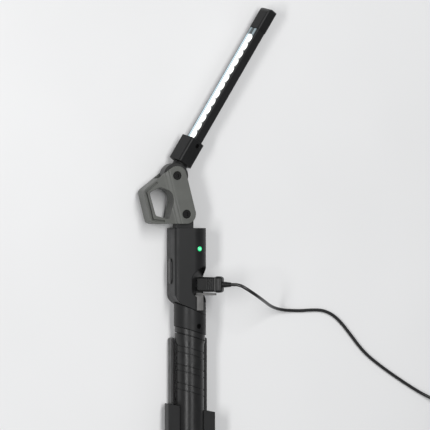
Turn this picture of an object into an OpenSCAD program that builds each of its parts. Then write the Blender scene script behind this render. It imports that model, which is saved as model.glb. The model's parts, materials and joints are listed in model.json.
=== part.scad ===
// Folding rechargeable work light with a slim LED wand on a double-hinged bracket.
// The tool lies on its back: Z is up, out of its front, and Y runs up the handle
// towards the wand. Lengths are millimetres and angles are degrees.

/* [Handle] */
// Depth of the handle from its back to its front
handle_depth = 32; // [30:0.5:38]
// Reach of the head's flat side to the left of the handle's axis
head_left = 20; // [18:0.5:25]
// Length of the head, on the handle's axis
head_len = 81; // [78:1:100]
// Slant of the seam under the head
seam_slant = 23; // [10:1:26]
// Rounding of the head's lower left corner
head_corner = 14; // [6:0.5:15]
// Rounding of the head's long left edges
side_round = 4; // [3:0.5:8]
// Wall of the head's shells
shell_wall = 2.4; // [1.8:0.1:3]
// Length of the handle from the head's top to the end of the base
handle_len = 247; // [235:1:290]
// Length of the neck between the head's seam and the sleeve
neck_len = 21; // [18:0.5:30]

/* [Grip] */
// Radius of the battery cell
cell_r = 9.2; // [7:0.1:9.4]
// Length of the battery cell
cell_len = 65; // [50:1:70]
// Wall of the tube round the cell
tube_wall = 2.1; // [1.5:0.1:2.4]
// Wall of the rubber sleeve over the tube
sleeve_wall = 2.2; // [1.6:0.1:2.6]
// Slant of the sleeve's grooves
groove_slant = 17; // [5:1:22]
// Number of groove pairs
groove_pairs = 4; // [2:1:5]
// Distance from one groove pair to the next
groove_pitch = 18.5; // [14:0.5:22]
// Distance between the two grooves of a pair
groove_gap = 6.2; // [4:0.1:8]
// Width of a groove
groove_w = 0.9; // [0.5:0.1:1.5]
// Depth of a groove
groove_depth = 0.8; // [0.4:0.1:1.2]

/* [Base] */
// Width of the base across its two cheeks
base_w = 49; // [48:0.5:66]
// Length of the base on the handle's axis
base_len = 68; // [50:1:76]
// Slant of the base's shoulders
shoulder_slant = 10.7; // [0:0.1:14]
// Rounding of the base's long edges
base_round = 12; // [6:0.5:13]
// Depth of the base's cheeks beside the sleeve
cheek_depth = 23; // [18:0.5:28]
// Length of the cheeks down from the base's top
cheek_len = 40; // [20:1:48]
// Radius of the magnet in the base
magnet_r = 12; // [8:0.5:13]
// Thickness of the magnet
magnet_t = 6; // [3:0.5:7]
// Thickness of the end cap
cap_t = 3; // [2:0.5:4]
// Width of a side rail
rail_w = 3.2; // [2.4:0.1:3.6]
// Depth of a side rail
rail_d = 11.6; // [6:0.1:13]
// Length of the rails above the base
rail_len = 69.5; // [40:0.5:72]

/* [Bracket] */
// Distance between the two pivots
pivot_dist = 39.4; // [36:0.2:50]
// Lean of the bracket to the left
bracket_lean = 14.2; // [8:0.1:20]
// Height of the lower pivot over the head's top
pivot_rise = 13.8; // [13:0.2:18]
// Offset of the lower pivot to the left of the handle's axis
pivot_left = 7.2; // [5:0.1:8.5]
// Radius of the bracket's plates round each pivot
plate_r = 9.6; // [8.5:0.1:10.5]
// Thickness of a bracket plate
plate_t = 4; // [3:0.1:4.5]
// Depth of the bracket from front to back
bracket_depth = 25; // [22:0.5:28]
// Reach of the hanging loop to the left of the pivots
loop_reach = 37.5; // [34:0.5:46]
// Slope of the loop's upper edge
loop_slope = 24; // [18:0.5:28]
// Width of the loop's left bar
loop_bar = 6; // [4.5:0.1:7]
// Radius of the pivot bolts
bolt_r = 3; // [2:0.1:3.4]

/* [Wand] */
// Lean of the wand to the right
wand_lean = 31; // [20:1:40]
// Turn of the wand's lit face to the left, about its own length
wand_turn = 65; // [0:1:90]
// Length of the wand from its pivot to its tip
wand_len = 196; // [190:1:240]
// Width of the wand across its lit face
wand_w = 13.5; // [12.5:0.1:15]
// Thickness of the wand behind its lit face
wand_t = 11.5; // [11:0.1:13]
// Wall of the wand's channel
wand_wall = 1.4; // [1:0.1:2]
// Width of the collar
collar_w = 18; // [17.5:0.1:20]
// Thickness of the collar
collar_t = 16; // [15.6:0.1:18]
// Length of the collar
collar_len = 26.6; // [25:0.1:32]
// Length of the tip cap
tip_len = 25; // [20:0.5:32]
// Number of light-emitting diodes
led_count = 13; // [6:1:14]
// Distance from one diode to the next
led_pitch = 9.4; // [6:0.1:9.4]

/* [Port and button] */
// Direction of the charging port, from the front towards the right
port_turn = 50; // [45:1:58]
// Distance of the port below the head's top
port_drop = 56; // [52:0.5:58]
// Width of the port's recess
recess_w = 28; // [26:0.5:30]
// Length of the port's recess
recess_len = 36; // [34:0.5:38]
// Length of the power button
button_len = 26; // [16:0.5:28]
// Width of the power button
button_w = 10; // [8:0.5:11]
// Travel of the power button
button_travel = 1; // [0.5:0.1:1.2]
// Distance of the button's middle below the head's top
button_drop = 43; // [36:0.5:46]
// Distance of the status light below the head's top
light_drop = 20.6; // [17:0.1:26]

/* [Charging lead] */
// Diameter of the charging lead
cord_d = 3.3; // [3:0.1:3.5]
// Turns of the coil on its way in
coil_turns = 2.5; // [1.5:1:2.5]
// Radius where the coil starts
coil_r = 25; // [24:0.5:27]
// Distance from one turn of the coil to the next
coil_pitch = 4.4; // [4.3:0.1:4.6]
// Distance between the coil's two layers
coil_rise = 4.2; // [4.2:0.1:5]

/* [Hidden] */
$fn = 48;

// Clearances: close = pieces that seat, loose = pieces that drop in, running = shaft in its bore
close = 0.1;
loose = 0.2;
running = 0.05;

// Middle of the tool's box, which becomes the origin
middle = [19.695, -12.552];

// Reach of the blocks that cut pieces in two, past the whole tool
reach = 2 * handle_len;

handle_r = handle_depth / 2;
axis_z = handle_r;
cell_room = 0.4;
tube_in = cell_r + cell_room;
tube_r = tube_in + tube_wall;
sleeve_in = tube_r + close;
grip_r = sleeve_in + sleeve_wall;
base_top = -handle_len + base_len;
magnet_floor = 2;
sleeve_end = -handle_len + cap_t + magnet_t + magnet_floor;
pivot = [-pivot_left, pivot_rise];
upper_pivot = pivot + pivot_dist * [-sin(bracket_lean), cos(bracket_lean)];

// Colours of the materials
black = [0.035, 0.036, 0.038];
rubber_black = [0.025, 0.025, 0.026];
grey = [0.27, 0.28, 0.27];
steel = [0.55, 0.56, 0.58];
green = [0.05, 0.75, 0.35];
board_green = [0.05, 0.22, 0.12];
white = [0.9, 0.92, 0.93];

module at_rest() { translate([-middle.x, -middle.y, 0]) children(); }

function unit(v) = v / norm(v);

// Arc that rounds the corner b between a and c with radius r
function corner_arc(a, b, c, r, steps = 8) =
    let (u = unit(a - b), w = unit(c - b), half = acos(u * w) / 2,
        centre = b + unit(u + w) * r / sin(half),
        first = b + u * r / tan(half) - centre,
        last = b + w * r / tan(half) - centre,
        from = atan2(first.y, first.x),
        turn = (atan2(last.y, last.x) - from + 540) % 360 - 180)
    [for (i = [0:steps]) centre + r * [cos(from + turn * i / steps), sin(from + turn * i / steps)]];

// Outline through corners [x, y, radius]
function rounded(corners) =
    let (n = len(corners), at = function(i) [corners[(i + n) % n].x, corners[(i + n) % n].y])
    [for (i = [0:n - 1])
        each corners[i][2] > 0 ? corner_arc(at(i - 1), at(i), at(i + 1), corners[i][2]) : [at(i)]];

// The same corners moved outwards by d, for a convex outline
function grown(corners, d) =
    let (n = len(corners), at = function(i) [corners[(i + n) % n].x, corners[(i + n) % n].y])
    [for (i = [0:n - 1])
        let (u = unit(at(i - 1) - at(i)), w = unit(at(i + 1) - at(i)), half = acos(u * w) / 2,
            p = at(i) - unit(u + w) * d / sin(half))
        [p.x, p.y, corners[i][2] + d]];

// Outline of a band of width w along a path, with mitred corners and square ends
function band(path, w) =
    let (n = len(path) - 1,
        side = function(i) let (d = unit(path[i + 1] - path[i])) [-d.y, d.x],
        half = function(i)
            let (a = side(max(i - 1, 0)), m = unit(a + side(min(i, n - 1)))) m * w / 2 / (m * a))
    [for (i = [0:n]) path[i] + half(i), for (i = [n:-1:0]) path[i] - half(i)];

// Rectangle with round corners, centred
module round_rect(w, d, r) {
    square([w - 2 * r, d], center = true);
    square([w, d - 2 * r], center = true);
    for (x = [-1, 1], y = [-1, 1]) translate([x * (w / 2 - r), y * (d / 2 - r)]) circle(r);
}

// Bar with a round-cornered section that runs along Y from one place to another
module bar_y(w, d, r, from, to) {
    translate([0, to, 0]) rotate([90, 0, 0]) linear_extrude(to - from) round_rect(w, d, r);
}

// Rod along Y on the handle's axis
module rod_y(r, from, to) {
    translate([0, to, axis_z]) rotate([90, 0, 0]) cylinder(h = to - from, r = r);
}

// Slot shape along local Z with round ends in Y
module stadium(w, length, from, to) {
    for (y = [-1, 1]) translate([0, y * (length - w) / 2, from]) cylinder(h = to - from, r = w / 2);
    translate([-w / 2, -(length - w) / 2, from]) cube([w, length - w, to - from]);
}

// Space below a plane across the handle that falls to the right
module below(y, slant) {
    translate([0, y, 0]) rotate([0, 0, -slant]) translate([-reach, -reach, -reach])
        cube([2 * reach, reach, 2 * reach]);
}

// Direction frames
module at_port() { translate([0, -port_drop, axis_z]) rotate([0, port_turn, 0]) children(); }
module at_round(drop, turn) { translate([0, -drop, axis_z]) rotate([0, turn, 0]) children(); }
module at_button() { translate([-head_left, -button_drop, axis_z]) rotate([0, -90, 0]) children(); }
module in_bracket() { translate([pivot.x, pivot.y, axis_z]) rotate([0, 0, bracket_lean]) children(); }
module in_knuckle() {
    translate([upper_pivot.x, upper_pivot.y, axis_z]) rotate([0, 0, -wand_lean]) children();
}
module in_wand() { in_knuckle() rotate([0, -wand_turn, 0]) children(); }

// Head
seam_gap = 0.4;
port_floor = handle_r / 2;
slot_t = bracket_depth - 2 * plate_t;
washer_t = 0.6;
tongue_t = slot_t - 2 * (washer_t + loose / 2);
tongue_w = 17;
flange = 1.6;
flange_len = 9;
wire_r = 5;
boss_r = 2.8;
screw_r = 1.4;
screw_head_r = 2.4;
screw_head_t = 1.5;
screw_seat_z = 5.5;
screw_bite = 7.5;
screw_room = 0.5;
screw_inset = 6.5;
screw_drop = 14;
screw_past_port = 7;
screw_places = [[screw_inset - head_left, -port_drop - screw_past_port],
    [handle_r - screw_inset, -screw_drop]];
board_t = 1.6;
board_z = axis_z / 2;
board_left = -9.9;
board_right = 7.4;
board_drop = 26;
board_end = 9;
board_top = -board_drop;
board_bottom = board_end - head_len;
post_r = 2;
post_inset = 4;
post_places = [[board_left + post_inset, board_top - post_inset],
    [board_right - post_inset, board_bottom + post_inset]];
switch_size = [6, 6, 5.6];
button_lip = 1;
button_stem_r = 1.8;
light_turn = 20;
light_r = 2.4;
light_depth = 4;
light_proud = 0.2;
light_crown = 0.4;
diode_r = 1.5;
diode_len = 3.4;
socket_size = [4.2, 9.6, 7.4];
socket_wall = 0.6;
contact_size = [2.5, 8.3, 7.4];

function seam_y(x, inset = 0) = -head_len + inset / cos(seam_slant) - tan(seam_slant) * x;

module head_section(inset) {
    r = max(side_round - inset, 1);
    left = head_left - inset;
    depth = handle_depth - 2 * inset;
    translate([0, axis_z]) {
        circle(handle_r - inset);
        translate([-left + r, -depth / 2]) square([left - r, depth]);
        translate([-left, -depth / 2 + r]) square([left, depth - 2 * r]);
        for (side = [-1, 1]) translate([-left + r, side * (depth / 2 - r)]) circle(r);
    }
}

// The head's outer form, or its hollow when inset by the wall
module head_body(inset) {
    left = head_left - inset;
    right = handle_r + 1;
    intersection() {
        translate([0, -inset, 0]) rotate([90, 0, 0])
            linear_extrude(head_len + handle_r) head_section(inset);
        linear_extrude(handle_depth) polygon(rounded([[-left, 0, 0], [right, 0, 0],
            [right, seam_y(right, inset), 0], [-left, seam_y(-left, inset), head_corner - inset]]));
    }
}

module port_recess(grow) {
    at_port() stadium(recess_w + 2 * grow, recess_len + 2 * grow, port_floor - grow, handle_depth);
}

module head_hollow() {
    difference() {
        head_body(shell_wall);
        port_recess(shell_wall);
        for (p = screw_places) translate([p.x, p.y, 0]) cylinder(h = handle_depth, r = boss_r);
        for (p = post_places) translate([p.x, p.y, 0]) cylinder(h = board_z, r = post_r);
    }
}

// Openings that both shells share
module head_openings() {
    translate([pivot.x - tongue_w / 2 - loose, -2 * shell_wall, axis_z - tongue_t / 2 - loose])
        cube([tongue_w + 2 * loose, 3 * shell_wall, tongue_t + 2 * loose]);
    port_recess(0);
    at_port() translate([-socket_size.x / 2 - close, -socket_size.y / 2 - close, 0])
        cube([socket_size.x + 2 * close, socket_size.y + 2 * close, handle_r]);
    at_button() stadium(button_w + 2 * loose, button_len + 2 * loose, -2 * shell_wall, shell_wall);
    at_round(light_drop, light_turn) cylinder(h = handle_depth, r = light_r + close);
    rod_y(wire_r, -head_len - handle_r, -head_len + handle_r);
}

module head_front_shell() {
    color(black) difference() {
        intersection() {
            head_body(0);
            translate([-reach, -reach, axis_z]) cube(2 * reach);
        }
        head_hollow();
        head_openings();
        for (p = screw_places) translate([p.x, p.y, 0])
            cylinder(h = axis_z + screw_bite + screw_room, r = screw_r + running);
    }
}

module head_back_shell() {
    color(black) difference() {
        intersection() {
            head_body(0);
            translate([-reach, -reach, axis_z - 2 * reach]) cube(2 * reach);
        }
        head_hollow();
        head_openings();
        for (p = screw_places) translate([p.x, p.y, -1]) {
            cylinder(h = axis_z + 2, r = screw_r + close);
            cylinder(h = screw_seat_z + 1, r = screw_head_r + loose);
        }
    }
}

module housing_screws() {
    color(steel) for (p = screw_places) translate([p.x, p.y, 0]) {
        translate([0, 0, screw_seat_z]) cylinder(h = axis_z + screw_bite - screw_seat_z, r = screw_r);
        translate([0, 0, screw_seat_z - screw_head_t]) cylinder(h = screw_head_t, r = screw_head_r);
    }
}

module hinge_tongue() {
    inside = -shell_wall - close;
    low = inside - flange_len;
    color(black) translate([pivot.x, 0, axis_z]) difference() {
        union() {
            translate([0, pivot.y, -tongue_t / 2]) cylinder(h = tongue_t, r = tongue_w / 2);
            translate([-tongue_w / 2, low, -tongue_t / 2]) cube([tongue_w, pivot.y - low, tongue_t]);
            translate([-tongue_w / 2 - flange, low, -tongue_t / 2 - flange])
                cube([tongue_w + 2 * flange, flange_len, tongue_t + 2 * flange]);
        }
        translate([0, pivot.y, -tongue_t]) cylinder(h = 2 * tongue_t, r = bolt_r + running);
    }
}

module control_board() {
    color(board_green) translate([board_left, board_bottom, board_z])
        cube([board_right - board_left, board_top - board_bottom, board_t]);
}

module power_switch() {
    color(steel) translate([board_left, -button_drop - switch_size.y / 2, board_z + board_t])
        cube(switch_size);
}

module power_button() {
    stem_z = board_z + board_t + switch_size.z / 2 - axis_z;
    stem_reach = head_left + board_left - button_travel - loose;
    color(rubber_black) at_button() {
        stadium(button_w, button_len, -shell_wall - loose, button_travel + loose);
        stadium(button_w + 2 * button_lip, button_len + 2 * button_lip,
            -shell_wall - loose - button_lip, -shell_wall - loose);
        translate([stem_z, 0, -stem_reach])
            cylinder(h = stem_reach - shell_wall - loose, r = button_stem_r);
    }
}

module usb_socket() {
    color(steel) at_port() translate([0, 0, port_floor]) difference() {
        translate([-socket_size.x / 2, -socket_size.y / 2, -socket_size.z]) cube(socket_size);
        translate([-contact_size.x / 2 - loose, -contact_size.y / 2 - loose, socket_wall - socket_size.z])
            cube([contact_size.x + 2 * loose, contact_size.y + 2 * loose, socket_size.z]);
    }
}

module status_lens() {
    color(green) at_round(light_drop, light_turn) {
        translate([0, 0, handle_r - light_depth]) cylinder(h = light_depth + light_proud, r = light_r);
        translate([0, 0, handle_r + light_proud])
            cylinder(h = light_crown, r1 = light_r, r2 = light_r - 1.5 * light_crown);
    }
}

module status_diode() {
    color(white) at_round(light_drop, light_turn)
        translate([0, 0, handle_r - light_depth - diode_len - close]) cylinder(h = diode_len, r = diode_r);
}

// Neck and grip
neck_end = -head_len - neck_len;
tube_seat = 10;
neck_bore = neck_end + tube_seat;
cell_drop = 8;
cell_nub_r = 2.6;
cell_nub_t = 1.2;
grip_step = 1.2;
grip_step_y = neck_end - 10;
grip_step_len = 4;
neck_screw_drop = head_len + neck_len * 0.78;
neck_screw_turn = 18;
neck_screw_z = handle_r - screw_head_t - 0.6;
rail_z = 2.4;
rail_gap = 0.4;
rail_in = sqrt(pow(grip_r + grip_step, 2) - pow(axis_z - rail_z - rail_d, 2)) + rail_gap;
rail_seat = 12;
cap_screw_x = (magnet_r + base_w / 2) / 2;
cap_screw_r = 1.25;
cap_screw_bite = 9;

module neck_ring() {
    color(black) difference() {
        intersection() {
            rod_y(handle_r, neck_end - handle_r, -head_len + handle_r);
            below(-head_len - seam_gap, seam_slant);
        }
        below(neck_end, groove_slant);
        rod_y(tube_r + close, neck_end - handle_r, neck_bore);
        rod_y(wire_r, neck_bore, -head_len + handle_r);
        at_round(neck_screw_drop, neck_screw_turn) {
            translate([0, 0, neck_screw_z]) cylinder(h = handle_r, r = screw_head_r + loose);
            translate([0, 0, tube_r]) cylinder(h = handle_r, r = screw_r + close);
        }
    }
}

module neck_screw() {
    color(steel) at_round(neck_screw_drop, neck_screw_turn) {
        translate([0, 0, neck_screw_z]) cylinder(h = screw_head_t, r = screw_head_r);
        translate([0, 0, tube_r + loose])
            cylinder(h = neck_screw_z + screw_head_t / 2 - tube_r - loose, r = screw_r);
    }
}

module grip_tube() {
    color(black) difference() {
        rod_y(tube_r, sleeve_end + close, neck_bore - close);
        rod_y(tube_in, sleeve_end - 1, neck_bore - tube_wall);
    }
}

module sleeve_groove(y) {
    difference() {
        translate([0, y, axis_z]) rotate([0, 0, -groove_slant])
            translate([-2 * grip_r, -groove_w / 2, -2 * grip_r]) cube([4 * grip_r, groove_w, 4 * grip_r]);
        rod_y(grip_r - groove_depth, y - 2 * grip_r, y + 2 * grip_r);
    }
}

module grip_sleeve() {
    color(rubber_black) difference() {
        intersection() {
            union() {
                rod_y(grip_r, sleeve_end + close, neck_end + handle_r);
                rod_y(grip_r + grip_step, grip_step_y, neck_end + handle_r);
                translate([0, grip_step_y, axis_z]) rotate([90, 0, 0])
                    cylinder(h = grip_step_len, r1 = grip_r + grip_step, r2 = grip_r);
            }
            below(neck_end - seam_gap, groove_slant);
        }
        rod_y(sleeve_in, sleeve_end - 1, neck_end + 2 * handle_r);
        for (i = [0:groove_pairs - 1], j = [0, 1])
            if (i + j > 0) sleeve_groove(neck_end - i * groove_pitch - j * groove_gap);
    }
}

module battery_cell() {
    cell_top = neck_bore - cell_drop;
    color([0.15, 0.3, 0.5]) {
        rod_y(cell_r, cell_top - cell_len, cell_top);
        rod_y(cell_nub_r, cell_top, cell_top + cell_nub_t);
    }
}

// Rail beside the grip, side is -1 for left and 1 for right
module side_rail(side, grow) {
    r = rail_w / 2 + grow;
    top = base_top + rail_len - rail_w / 2;
    bottom = base_top - rail_seat - grow;
    translate([side * (rail_in + rail_w / 2), 0, rail_z - grow]) {
        translate([0, top, 0]) cylinder(h = rail_d + 2 * grow, r = r);
        translate([-r, bottom, 0]) cube([2 * r, top - bottom, rail_d + 2 * grow]);
    }
}

module left_side_rail() { color(rubber_black) side_rail(-1, 0); }
module right_side_rail() { color(rubber_black) side_rail(1, 0); }

module base_housing() {
    inner_end = -handle_len + cap_t;
    color(black) difference() {
        intersection() {
            translate([0, 0, axis_z]) bar_y(base_w, handle_depth, base_round, inner_end, base_top + base_w);
            below(base_top, shoulder_slant);
        }
        rod_y(grip_r + loose, sleeve_end, base_top + base_w);
        translate([-reach, base_top - cheek_len, cheek_depth]) cube(2 * reach);
        for (side = [-1, 1]) side_rail(side, close);
        rod_y(magnet_r + close, inner_end - 1, inner_end + magnet_t + close);
        for (side = [-1, 1]) translate([side * cap_screw_x, 0, 0])
            rod_y(cap_screw_r + running, inner_end - 1, inner_end + cap_screw_bite + screw_room);
    }
}

module base_magnet() {
    color(steel) rod_y(magnet_r, -handle_len + cap_t, -handle_len + cap_t + magnet_t);
}

module base_end_cap() {
    color(rubber_black) difference() {
        translate([0, 0, axis_z]) bar_y(base_w, handle_depth, base_round, -handle_len, -handle_len + cap_t);
        for (side = [-1, 1]) translate([side * cap_screw_x, 0, 0]) {
            rod_y(cap_screw_r + close, -handle_len - 1, -handle_len + cap_t + 1);
            rod_y(screw_head_r + loose, -handle_len - 1, -handle_len + screw_head_t);
        }
    }
}

module base_screws() {
    color(steel) for (side = [-1, 1]) translate([side * cap_screw_x, 0, 0]) {
        rod_y(cap_screw_r, -handle_len + screw_head_t, -handle_len + cap_t + cap_screw_bite);
        rod_y(screw_head_r, -handle_len + loose, -handle_len + screw_head_t);
    }
}

// Rubber cover of the charging port, hanging open below the plug
flap_w = 9;
flap_hinge_r = 1.3;
flap_y = -9.7;
flap_z = port_floor + flap_hinge_r + loose;
flap_t = 2;
flap_len = 18.6;
flap_inset = 1;
flap_room = 0.7;
strap_w = 6;
strap_t = 1.2;
strap_gap = 0.3;
strap_x = -flap_w / 2 - strap_gap - strap_w / 2;
strap_rise_y = flap_y - 2.7;
strap_rise_t = 1.8;
strap_len = 15;
strap_r = handle_r + close + strap_t;

// Strap of the cover: a riser from the recess's floor, and a band over the rim and down the head's front
module flap_strap() {
    top = strap_rise_y + strap_rise_t - port_drop;
    intersection() {
        difference() {
            rod_y(strap_r, top - strap_len, top);
            rod_y(strap_r - strap_t, top - 2 * strap_len, top + strap_len);
        }
        at_port() translate([strap_x - strap_w / 2, -reach, 0]) cube([strap_w, 2 * reach, handle_depth]);
    }
    intersection() {
        rod_y(strap_r - strap_t / 2, top - strap_len, top + strap_len);
        at_port() translate([strap_x - strap_w / 2 + close, strap_rise_y + close, port_floor])
            cube([strap_w - 2 * close, strap_rise_t - 2 * close, handle_r]);
    }
    at_port() translate([strap_x, strap_rise_y + loose, port_floor])
        cube([-strap_x, strap_rise_t - 2 * loose, flap_hinge_r]);
}

module flap_anchor() {
    hinge_room = flap_w + strap_gap;
    color(grey) difference() {
        union() {
            flap_strap();
            at_port() translate([-flap_w / 2, flap_inset - recess_len / 2, port_floor])
                cube([flap_w, flap_y + recess_len / 2 - flap_inset, flap_hinge_r + loose]);
        }
        at_port() translate([-hinge_room / 2, flap_y, flap_z]) rotate([0, 90, 0])
            cylinder(h = hinge_room, r = flap_hinge_r + flap_room);
    }
}

module port_flap() {
    color(grey) at_port() {
        translate([-flap_w / 2, flap_y, flap_z]) rotate([0, 90, 0]) cylinder(h = flap_w, r = flap_hinge_r);
        translate([-flap_w / 2, flap_y - flap_t / 2, flap_z]) cube([flap_w, flap_t, flap_len - flap_w / 2]);
        translate([0, flap_y + flap_t / 2, flap_z + flap_len - flap_w / 2]) rotate([90, 0, 0])
            cylinder(h = flap_t, r = flap_w / 2);
    }
}

// Bracket, drawn from the lower pivot with Y towards the upper one and Z from its mid-plane
loop_round = 5;
loop_start = 19;
web = 3;
// Ramp from the plates down to the thinner loop, and what it leaves of a plate
ramp_start = 6;
ramp_w = 6.5;
ramp_steps = 8;
ramp_wall = 1.6;
inlay_w = 1.7;
inlay_depth = 2.2;
bolt_head_r = 4.1;
bolt_head_t = 1.5;
bolt_seat = 2;
bolt_end = 0.3;
bolt_socket = 1;
nut_r = bolt_head_r + 0.3;
washer_r = 7.5;
half_depth = bracket_depth / 2;
loop_drop = plate_t - ramp_wall;

function loop_top(x) = pivot_dist + plate_r / cos(loop_slope) + tan(loop_slope) * x;
function loop_bottom(x) = -plate_r / cos(bracket_lean) - tan(bracket_lean) * x;

bracket_corners = [
    [plate_r, loop_bottom(plate_r), plate_r],
    [plate_r, loop_top(plate_r), plate_r],
    [-loop_reach, loop_top(-loop_reach), loop_round],
    [-loop_reach, loop_bottom(-loop_reach), loop_round]];
hole_left = -loop_reach + loop_bar;
hole_corners = [
    [hole_left, loop_top(hole_left) - loop_bar, 3],
    [-loop_start, pivot_dist - 7, 4],
    [1 - plate_r, pivot_dist - 14.4, 8],
    [-plate_r, 15, 12],
    [-17.5, -1, 3],
    [hole_left + 0.8, loop_bottom(hole_left) + 8, 3]];
inlay_x = -loop_reach + loop_bar / 2;
inlay_path = [
    [-loop_start - 2, loop_top(-loop_start - 2) - 3],
    [inlay_x, loop_top(inlay_x) - 3],
    [inlay_x, loop_bottom(inlay_x) + 4],
    [-loop_start - 4, loop_bottom(-loop_start - 4) + 2.6]];

function ramp_z(i) = half_depth - loop_drop * (1 - cos(180 * i / ramp_steps)) / 2;
function ramp_x(i) = -ramp_start - ramp_w * i / ramp_steps;
// What lies over the ramp and the loop, in X and height
over_loop = concat(
    [[ramp_x(-1), bracket_depth], [ramp_x(-1), 2 * half_depth - ramp_z(1)]],
    [for (i = [1:ramp_steps]) [ramp_x(i), ramp_z(i)]],
    [[-2 * loop_reach, half_depth - loop_drop], [-2 * loop_reach, bracket_depth]]);

module slab(corners, from, to) {
    translate([0, 0, from]) linear_extrude(to - from) polygon(rounded(corners));
}

module bracket_plate(from, to) {
    difference() {
        slab(bracket_corners, from, to);
        slab(hole_corners, from - 1, to + 1);
    }
}

// Full-depth part of the bracket round its loop, clear of both pivots
module bracket_frame(from, to) {
    intersection() {
        bracket_plate(from, to);
        union() {
            slab(grown(hole_corners, web), from - 1, to + 1);
            translate([-2 * loop_reach, -loop_reach, from - 1])
                cube([2 * loop_reach - loop_start, 2 * loop_reach + pivot_dist, to - from + 2]);
        }
    }
}

module at_pivots() { for (y = [0, pivot_dist]) translate([0, y, 0]) children(); }

module above_loop() {
    rotate([90, 0, 0]) linear_extrude(4 * loop_reach, center = true) polygon(over_loop);
}

module inlay_groove() {
    translate([0, 0, half_depth - loop_drop - inlay_depth]) linear_extrude(plate_t) polygon(band(inlay_path, inlay_w));
}

module bracket_front() {
    color(grey) in_bracket() difference() {
        union() {
            bracket_plate(slot_t / 2, half_depth);
            bracket_frame(0, slot_t / 2);
        }
        above_loop();
        inlay_groove();
        at_pivots() {
            translate([0, 0, half_depth - bolt_seat]) cylinder(h = plate_t, r = bolt_head_r + loose);
            cylinder(h = bracket_depth, r = bolt_r + running);
        }
    }
}

module bracket_back() {
    color(grey) in_bracket() difference() {
        union() {
            bracket_plate(-half_depth, -slot_t / 2);
            bracket_frame(-slot_t / 2, 0);
        }
        mirror([0, 0, 1]) above_loop();
        at_pivots() {
            translate([0, 0, -half_depth - plate_t + bolt_seat]) cylinder(h = plate_t, r = nut_r + loose);
            translate([0, 0, -bracket_depth]) cylinder(h = bracket_depth, r = bolt_r + running);
        }
    }
}

module pivot_bolts() {
    color(steel) in_bracket() at_pivots() difference() {
        union() {
            translate([0, 0, half_depth - bolt_seat]) cylinder(h = bolt_head_t, r = bolt_head_r);
            translate([0, 0, -half_depth + bolt_end])
                cylinder(h = bracket_depth - bolt_end - bolt_seat, r = bolt_r);
        }
        translate([0, 0, half_depth - bolt_seat + bolt_head_t - bolt_socket])
            cylinder(h = bolt_seat, r = bolt_r * 0.6, $fn = 6);
    }
}

module pivot_nuts() {
    color(steel) in_bracket() at_pivots() translate([0, 0, loose - half_depth]) difference() {
        cylinder(h = bolt_seat - loose, r = nut_r, $fn = 6);
        translate([0, 0, -1]) cylinder(h = bolt_seat + 2, r = bolt_r + running);
    }
}

module friction_washers() {
    color(steel) in_bracket() at_pivots() for (side = [-1, 1])
        translate([0, 0, side * (slot_t - washer_t) / 2]) difference() {
            cylinder(h = washer_t, r = washer_r, center = true);
            cylinder(h = 2 * washer_t, r = bolt_r + running, center = true);
        }
}

// Wand, drawn from the upper pivot with Y along its length and its lit face towards Z
knuckle_r = 12.6;
knuckle_neck_r = slot_t / 2 - 0.9;
knuckle_neck = 0.8;
knuckle_len = knuckle_r + knuckle_neck;
stem_r = 4.5;
stem_end = 1.6;
swivel_gap = 0.8;
collar_start = knuckle_len + swivel_gap + loose;
collar_end = collar_start + collar_len;
stem_wall = 9.4;
clip_y = collar_start + stem_wall + close;
clip_t = 1;
clip_r = 6;
clip_bite = 0.8;
clip_room = 0.4;
wand_seat = 8;
wand_start = collar_end - wand_seat;
tip_start = wand_len - tip_len;
tip_seat = 5;
wand_end = tip_start + tip_seat;
trough = wand_w / 2 - wand_wall;
wand_back = 6;
trough_floor = -wand_t / 2 + wand_back;
wand_round = 2;
collar_round = 2.6;
collar_rise = 2.8;
tip_round = 2.5;
tip_corner = 3;
tip_brow = 7;
tip_heel = 2;
small_screw_r = 1.1;
small_head_r = 2.2;
small_head_t = 1;
tip_screw_y = tip_start + 2.4;
led_size = [3.5, 2.8, 1.2];
led_inset = 4.6;
led_first = collar_end + led_inset;
led_board_inset = 1;
tray_inset = 0.4;
lens_t = 1.7;
lens_low = wand_t / 2 - lens_t - close;
tray_wall = 0.8;
tray_low = trough_floor + board_t + close;

module rod_wand(r, from, to) {
    translate([0, from, 0]) rotate([-90, 0, 0]) cylinder(h = to - from, r = r);
}

module wand_knuckle() {
    color(black) in_knuckle() difference() {
        union() {
            translate([0, 0, -tongue_t / 2]) cylinder(h = tongue_t, r = knuckle_r);
            rod_wand(knuckle_neck_r, 0, knuckle_len);
            rod_wand(stem_r, knuckle_len, clip_y + clip_t + stem_end);
        }
        translate([0, 0, -tongue_t]) cylinder(h = 2 * tongue_t, r = bolt_r + running);
        difference() {
            rod_wand(stem_r + 1, clip_y - close, clip_y + clip_t + close);
            rod_wand(stem_r - clip_bite - close, clip_y - 1, clip_y + clip_t + 1);
        }
    }
}

module swivel_washer() {
    color(rubber_black) in_knuckle() difference() {
        rod_wand(knuckle_neck_r, knuckle_len, knuckle_len + swivel_gap);
        rod_wand(stem_r + close, knuckle_len - 1, collar_start);
    }
}

module swivel_clip() {
    color(steel) in_knuckle() difference() {
        rod_wand(clip_r, clip_y, clip_y + clip_t);
        rod_wand(stem_r - clip_bite, clip_y - 1, clip_y + clip_t + 1);
    }
}

collar_screw_y = collar_end - wand_seat * 0.55;

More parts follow.
